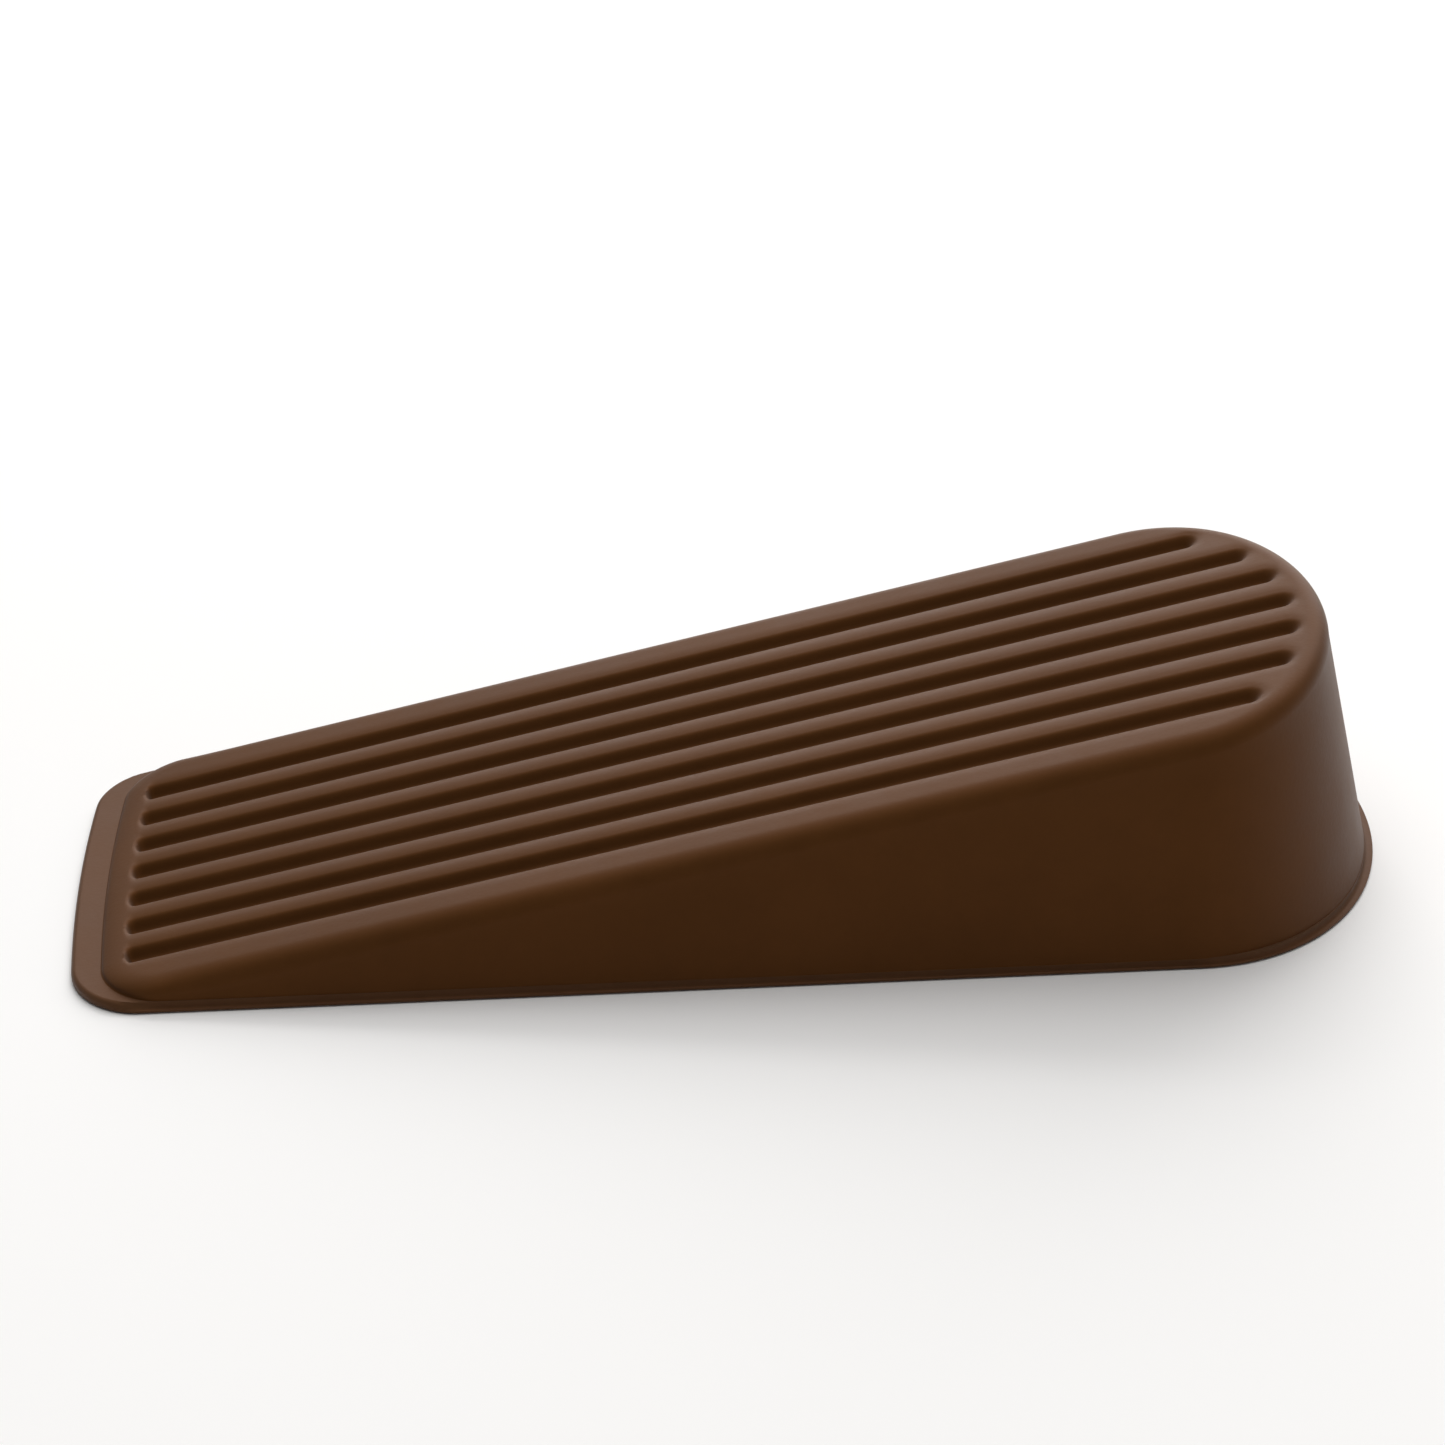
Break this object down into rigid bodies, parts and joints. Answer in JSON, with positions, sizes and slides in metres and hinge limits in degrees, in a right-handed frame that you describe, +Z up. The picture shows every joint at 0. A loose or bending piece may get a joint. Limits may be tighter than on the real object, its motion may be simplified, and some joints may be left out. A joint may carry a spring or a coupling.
{
  "type": "door wedge",
  "caption": "Rubber door wedge: a long ramp with grip grooves and a rounded rim, a drafted round heel, and a thin treaded sole that sticks out as a tongue at the toe.",
  "frame": {"origin": "bottom centre of the wedge's box, on the floor", "axes": "+X runs along the length from the thin toe to the tall heel, Y across the width, +Z up"},
  "size_m": [0.127, 0.0506, 0.0253],
  "materials": {
    "upper_rubber": "matte moulded brown rubber",
    "sole_rubber": "matte moulded brown rubber, slightly softer"
  },
  "bodies": {
    "root": {"ribbed_upper": "upper_rubber", "grip_sole": "sole_rubber"}
  },
  "joints": []
}
